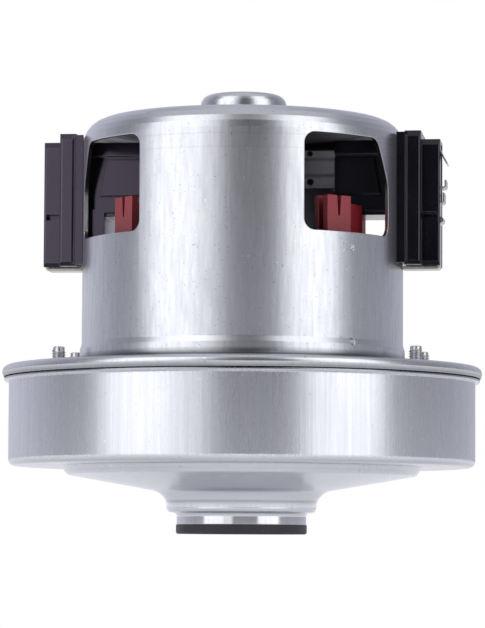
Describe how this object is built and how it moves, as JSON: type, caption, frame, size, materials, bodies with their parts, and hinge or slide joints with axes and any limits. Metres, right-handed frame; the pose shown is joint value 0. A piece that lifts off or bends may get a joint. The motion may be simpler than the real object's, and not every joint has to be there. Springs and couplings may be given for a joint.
{
  "type": "vacuum cleaner motor unit",
  "caption": "Brushed motor in a drawn steel can with cooling windows, on a round suction fan cover with an inlet neck and seal.",
  "frame": {"origin": "on the shaft's axis, at the lower face of the inlet seal", "axes": "+Z along the shaft from the inlet to the closed end of the can, brush holders on the X axis, -Y the front"},
  "size_m": [0.135, 0.135, 0.124],
  "materials": {
    "can_steel": "zinc plated deep drawn steel, satin, with faint draw lines",
    "cover_steel": "zinc plated drawn steel, satin",
    "seal_rubber": "matte moulded rubber",
    "diffuser_plastic": "moulded",
    "screw_steel": "bright zinc plate",
    "core_steel": "stacked sheet, dull",
    "copper": "enamelled copper",
    "red_plastic": "moulded, satin",
    "black_plastic": "moulded thermoset, satin",
    "brass": "drawn",
    "terminal_plate": "tinned sheet",
    "bearing_steel": "ground",
    "carbon": "pressed graphite, dull",
    "fibre": "pressed fibre",
    "impeller_aluminium": "pressed sheet"
  },
  "bodies": {
    "motor": {"motor_can": "can_steel", "fan_cover": "cover_steel", "inlet_seal": "seal_rubber", "end_bracket": "cover_steel", "diffuser": "diffuser_plastic", "bracket_screws": "screw_steel", "stator_core": "core_steel", "field_coil_front": "copper", "field_coil_rear": "copper", "coil_insulator_front": "red_plastic", "coil_insulator_rear": "red_plastic", "brush_holder_left": "black_plastic", "brush_holder_right": "black_plastic", "brush_tube_left": "brass", "brush_tube_right": "brass", "brush_terminal_left": "terminal_plate", "brush_terminal_right": "terminal_plate", "brush_spring_left": "screw_steel", "brush_spring_right": "screw_steel", "upper_bearing_outer": "bearing_steel", "lower_bearing_outer": "bearing_steel", "bearing_spring_washer": "bearing_steel"},
    "rotor": {"rotor_shaft": "bearing_steel", "armature_core": "core_steel", "armature_winding": "copper", "armature_insulators": "fibre", "commutator_bars": "copper", "commutator_hub": "black_plastic", "upper_bearing_inner": "bearing_steel", "lower_bearing_inner": "bearing_steel", "impeller_back_disc": "impeller_aluminium", "impeller_front_disc": "impeller_aluminium", "impeller_vanes": "impeller_aluminium", "shaft_spacer": "bearing_steel", "impeller_washer": "screw_steel", "shaft_nut": "screw_steel"},
    "left_brush": {"carbon_brush_left": "carbon"},
    "right_brush": {"carbon_brush_right": "carbon"},
    "upper_balls": {"upper_bearing_balls": "bearing_steel"},
    "lower_balls": {"lower_bearing_balls": "bearing_steel"}
  },
  "joints": [
    {"name": "rotor_spin", "type": "hinge", "parent": "motor", "child": "rotor", "pos_m": [0, 0, 0.06], "axis": [0, 0, 1], "continuous": true},
    {"name": "upper_cage_spin", "type": "hinge", "parent": "motor", "child": "upper_balls", "pos_m": [0, 0, 0.118], "axis": [0, 0, 1], "continuous": true},
    {"name": "lower_cage_spin", "type": "hinge", "parent": "motor", "child": "lower_balls", "pos_m": [0, 0, 0.041], "axis": [0, 0, 1], "continuous": true},
    {"name": "left_brush_slide", "type": "slide", "parent": "motor", "child": "left_brush", "axis": [-1, 0, 0], "range_m": [0, 0.005], "stiffness_N_per_m": 150, "springref_m": -0.02, "deforming": ["brush_spring_left"]},
    {"name": "right_brush_slide", "type": "slide", "parent": "motor", "child": "right_brush", "axis": [1, 0, 0], "range_m": [0, 0.005], "stiffness_N_per_m": 150, "springref_m": -0.02, "deforming": ["brush_spring_right"]}
  ],
  "couplings": [
    {"joint": "upper_cage_spin", "follows": "rotor_spin", "ratio": 0.37},
    {"joint": "lower_cage_spin", "follows": "rotor_spin", "ratio": 0.37}
  ]
}
